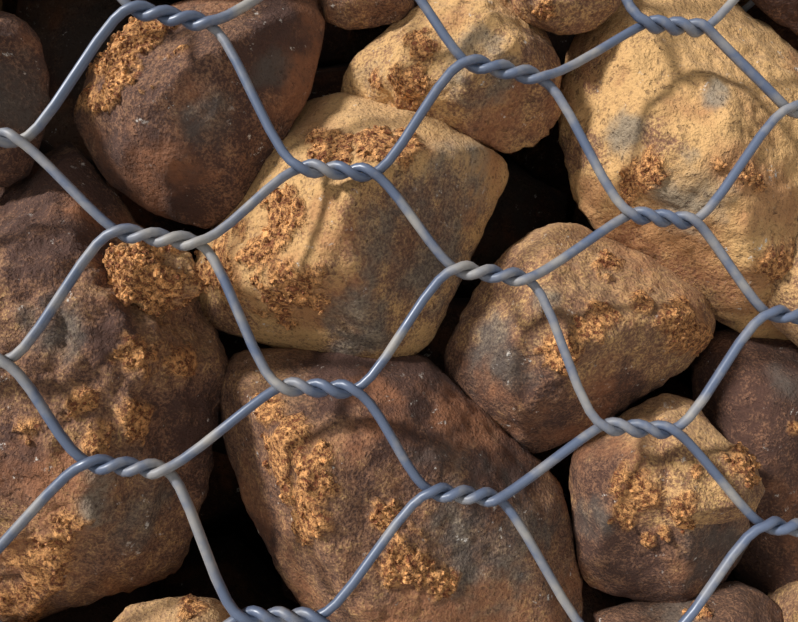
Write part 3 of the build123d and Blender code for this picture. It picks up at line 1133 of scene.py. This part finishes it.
# Faces broken off at random, which keep away from the walls, and the looks of a packed stone
breaks, break_limit, break_reaches = 3, 0.2, (0.8, 1.0)
greatest_tone, greynesses, greatest_soil_cover = 0.8, (0, 0, 0.3, 0.8), 0.3


def packed_places(low, high, fixed, seed):
    """Random places in a box, pushed apart until each has room for its own stone."""
    draw = np.random.default_rng(seed)
    loose = draw.uniform(low, high, (stones_in_a_bay, 3))
    radii = draw.normal(stone_radius, radius_spread, stones_in_a_bay)
    radii = np.clip(radii, stone_radius - 2 * radius_spread, stone_radius + 2 * radius_spread)
    fixed_places = np.array([place for place, _ in fixed]).reshape(-1, 3)
    all_radii = np.concatenate([radii, [radius for _, radius in fixed]])
    low, high = np.array(low), np.array(high)
    itself = np.arange(stones_in_a_bay)
    inset = wall_inset * radii[:, None]
    for _ in range(settling_steps):
        places = np.concatenate([loose, fixed_places])
        offset = loose[:, None] - places[None]
        distance = np.linalg.norm(offset, axis=2) + least_distance
        overlap = np.maximum(radii[:, None] + all_radii[None] - distance, 0)
        overlap[itself, itself] = 0
        loose = loose + settling_push * (offset / distance[..., None] * overlap[..., None]).sum(axis=1)
        loose = np.clip(loose, low + inset, high - inset)
        if fixed:
            behind = (np.abs(loose - window_middle) < window_half).all(axis=1)
            loose[behind, 1] = np.maximum(loose[behind, 1], fill_front + second_layer)
    return np.concatenate([loose, fixed_places]), all_radii


def pack_bay(bay_name, low, high, shown, piles, seed):
    """Packs a bay with stones round those already shown, and shares them out over its lifts."""
    draw = random.Random(seed)
    hollows = [(behind_mesh((x, y), depth * mm), radius * mm) for x, y, depth, radius in seen_hollows]
    places, radii = packed_places(low, high, shown + hollows if shown else [], seed)
    hidden_walls = {(0, 0, -1), (1, 0, 0) if bay_name == "left" else (-1, 0, 0)}
    tie_shift = 0 if bay_name == "left" else bay_length
    for place, radius in zip(places[:stones_in_a_bay], radii):
        centre = Vector(place)
        offset = places - place
        distance = np.linalg.norm(offset, axis=1)
        planes = []
        for j in np.argsort(distance)[1 : neighbours + 1]:
            middle = (distance[j] ** 2 + radius**2 - radii[j] ** 2) / (2 * distance[j])
            share = max(middle - joint_gap / 2, least_share * radius)
            planes.append((tuple(offset[j] / distance[j]), share))
        outward = Vector((0, 0, 0))
        rooms = []
        for axis in range(3):
            for side, wall in ((-1, low[axis]), (1, high[axis])):
                normal = Vector([side * (axis == i) for i in range(3)])
                rooms.append((normal, abs(wall - centre[axis])))
        walls_near = sum(room < wall_reach * radius for _, room in rooms)
        steepest = greatest_lean if walls_near == 1 else greatest_lean_at_edge
        for normal, room in rooms:
            if room > wall_reach * radius or tuple(normal) in hidden_walls:
                planes.append((tuple(normal), room))
                continue
            outward += normal
            around = normal.orthogonal().normalized()
            turn = draw.uniform(0, 360)
            peak_turn = Matrix.Rotation(draw.uniform(0, full_turn), 3, normal)
            peak = peak_turn @ around * draw.uniform(0, peak_shift)
            for _ in range(3):
                turn += draw.uniform(*face_turns)
                lean_turn = Matrix.Rotation(math.radians(turn), 3, normal)
                lean = lean_turn @ around * draw.uniform(least_lean, steepest)
                top = centre + normal * (room - draw.uniform(0, draw_back) * mm) + peak * radius
                planes.append(plane_through(top, normal + lean, centre))
        beyond = np.abs(place - window_middle) - window_half
        # Stones behind and near the shown ones take the darkest tone, as painted shade in the hollows
        is_shaded = shown and (beyond < shade_reach).all() and outward.y == 0
        if shown and (beyond < 0).all():
            depth = centre.y - fill_front - second_layer_front
            planes.append(((0, -1, 0), max(depth, nearest_front)))
        for _ in range(breaks):
            broken = Vector([draw.gauss(0, 1) for _ in range(3)]).normalized()
            if broken.dot(outward) < break_limit:
                planes.append((tuple(broken), radius * draw.uniform(*break_reaches)))
        for tie_height, tie_places in tie_rows:
            for tie_x in tie_places:
                gap = Vector((tie_x * mm + tie_shift - centre.x, 0, tie_height - centre.z))
                if gap.length < tie_reach * radius:
                    planes.append((tuple(gap.normalized()), max(gap.length - tie_room, nearest_tie)))
        is_seen = outward.length > 0
        seen_detail = front_detail if outward.y < 0 else side_detail
        lift = sum(centre.z > joint for joint in lift_joints)
        tone = draw.uniform(0, greatest_tone)
        piles[bay_name, lift_names[lift]].add(
            centre,
            planes,
            outward.normalized() if is_seen else None,
            (low, high),
            detail=seen_detail if is_seen else inside_detail,
            tone=hollow_shade_tone if is_shaded else tone,
            greyness=draw.choice(greynesses),
            soil_cover=draw.uniform(0, greatest_soil_cover) if is_seen else 0,
        )


rock = rubble("weathered_ironstone_rubble")
piles = {(bay, lift): StonePile() for bay in ("left", "right") for lift in lift_names}
inner_end, diaphragm_side = wall_length / 2 - panel_depth, panel_depth / 2
left_bay = (-inner_end, fill_front, fill_bottom), (-diaphragm_side, fill_back, fill_top)
right_bay = (diaphragm_side, fill_front, fill_bottom), (inner_end, fill_back, fill_top)
shown = []
for stone in seen_stones:
    centre, radius, planes = shown_stone(stone.pop("outline"), stone.pop("faces"))
    shown.append((centre, radius))
    piles["left", "middle"].add(centre, planes, -looking, left_bay, sharpness=shown_sharpness, **stone)
pack_bay("left", *left_bay, shown, piles, 21)
pack_bay("right", *right_bay, [], piles, 22)
for (bay, lift), pile in piles.items():
    piece = pile.piece(f"{bay}_{lift}_stones", rock)
    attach(piece, "root")
    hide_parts(f"stone_fill_{bay}_{lift}")


# Soil crumbs: lumps of dried orange soil, 1 to 4 mm across, which broke from the soil on the
# stones. They lie loose in it, and nothing else holds them.
crumb_radius = 1.3 * mm
least_crumb, largest_crumb = (0.4, 0.4, 0.4), (1.6, 1.3, 1.1)


def crumb_tree(name):
    """Geometry nodes that put a small lump at each vertex, turned and sized at random."""
    tree, given = start_tree(name, {"Radius": "Float", "Seed": "Int"})
    size = {"Radius": (given, "Radius")}
    lump = add_node(tree, "GeometryNodeMeshIcoSphere", values={"Subdivisions": 1}, links=size)
    turn, stretch = [
        add_node(
            tree,
            "FunctionNodeRandomValue",
            values={"Min": least, "Max": most},
            links={"Seed": (given, "Seed")},
            data_type="FLOAT_VECTOR",
        )
        for least, most in (((0, 0, 0), [full_turn] * 3), (least_crumb, largest_crumb))
    ]
    links = {"Points": (given, "Geometry"), "Instance": (lump, "Mesh")}
    links.update({"Rotation": (turn, "Value"), "Scale": (stretch, "Value")})
    lumps = add_node(tree, "GeometryNodeInstanceOnPoints", links=links)
    return end_tree(tree, given, (lumps, "Instances"))


crumb_points = bpy.data.meshes.new("crumb_places")
crumb_points.from_pydata(crumb_places, [], [])
source = bpy.data.objects.new("crumb_places", crumb_points)
crumb_inputs = {"Radius": crumb_radius, "Seed": 32, "Material": rock}
piece = finished_mesh("soil_crumbs", source, crumb_tree("scattered_crumbs"), crumb_inputs)
all_soil = [1.0] * len(piece.data.vertices)
piece.data.attributes.new("soil", "FLOAT", "POINT").data.foreach_set("value", all_soil)
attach(piece, "root")
